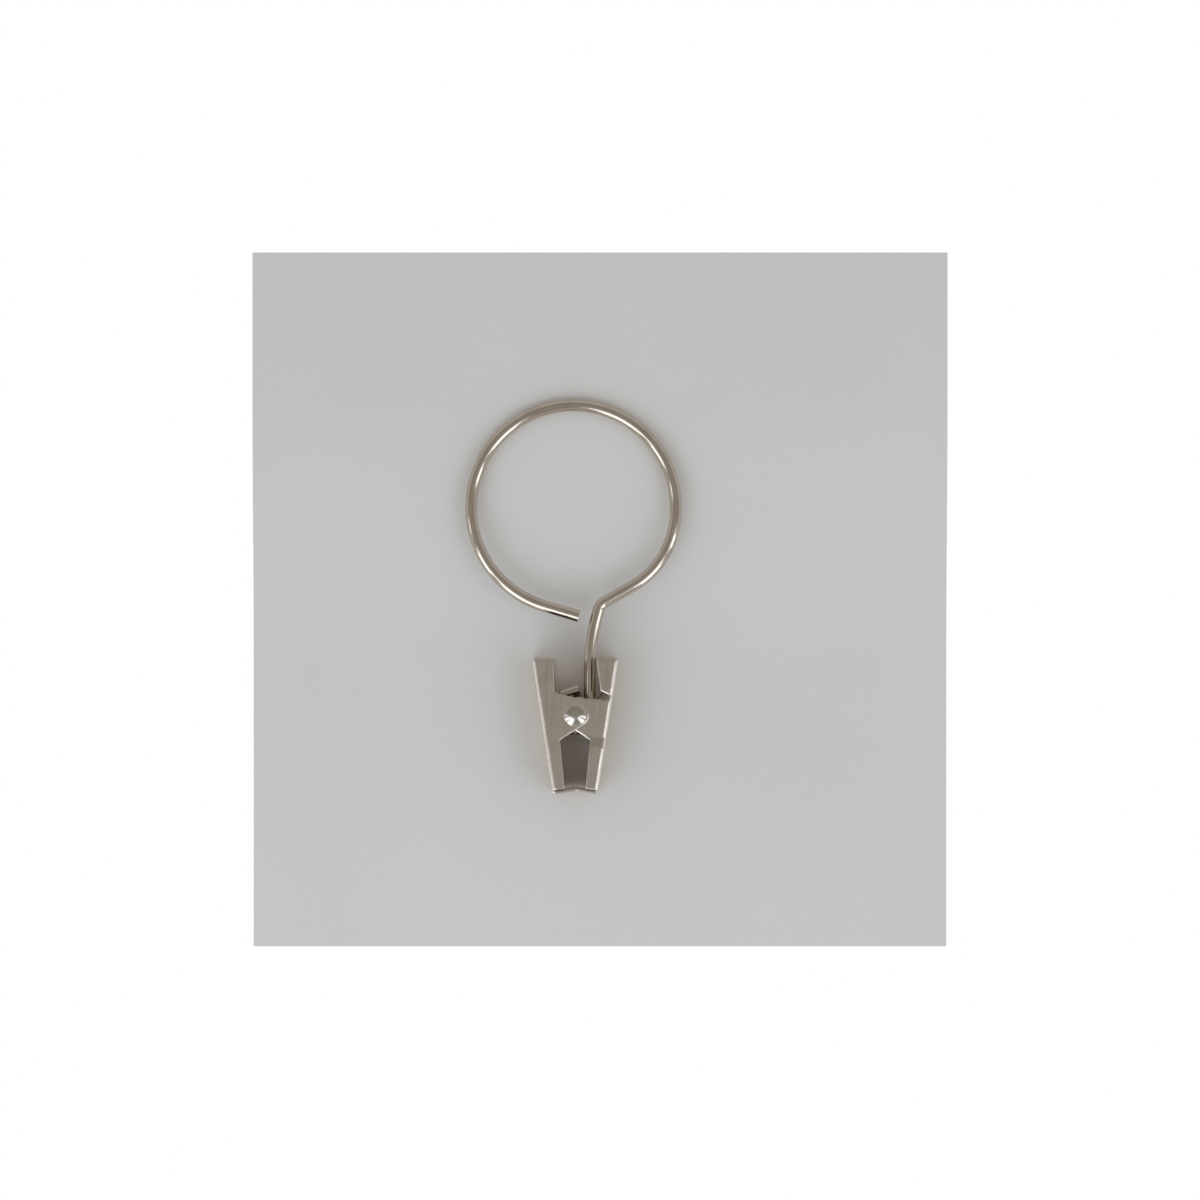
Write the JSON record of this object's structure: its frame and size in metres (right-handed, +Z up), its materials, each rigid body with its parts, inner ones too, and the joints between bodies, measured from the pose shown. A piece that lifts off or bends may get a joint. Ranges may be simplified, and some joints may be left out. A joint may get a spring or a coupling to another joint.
{
  "type": "curtain ring with clip",
  "caption": "Open wire curtain ring whose stem ends in an eye that carries a sprung sheet metal clip, for hanging a curtain from a rod.",
  "frame": {"origin": "centre of the ring's clear hole, in the middle plane of the wire", "axes": "+Z up from the clip to the ring as it hangs, +Y along the rod and the clip's pivot, +X to the side of the ring where the stem leaves it"},
  "size_m": [0.036, 0.0106, 0.0654],
  "materials": {
    "plated_wire": "polished plating",
    "plated_sheet": "polished plating, lightly scuffed",
    "plated_rivet": "polished plating",
    "spring_steel": "drawn spring wire"
  },
  "bodies": {
    "ring": {"wire_ring": "plated_wire"},
    "inner_half": {"inner_jaw": "plated_sheet", "pivot_rivet": "plated_rivet", "torsion_spring": "spring_steel"},
    "outer_half": {"outer_jaw": "plated_sheet"}
  },
  "joints": [
    {"name": "clip_swing", "type": "hinge", "parent": "ring", "child": "inner_half", "pos_m": [0.00029, 0, -0.0343], "axis": [0, 1, 0], "range_deg": [-12, 12]},
    {"name": "jaw_open", "type": "hinge", "parent": "inner_half", "child": "outer_half", "pos_m": [0.00029, 0, -0.0343], "axis": [0, 1, 0], "range_deg": [0, 28], "stiffness_Nm_per_rad": 0.02, "springref_deg": -34.38, "deforming": ["torsion_spring"]}
  ]
}
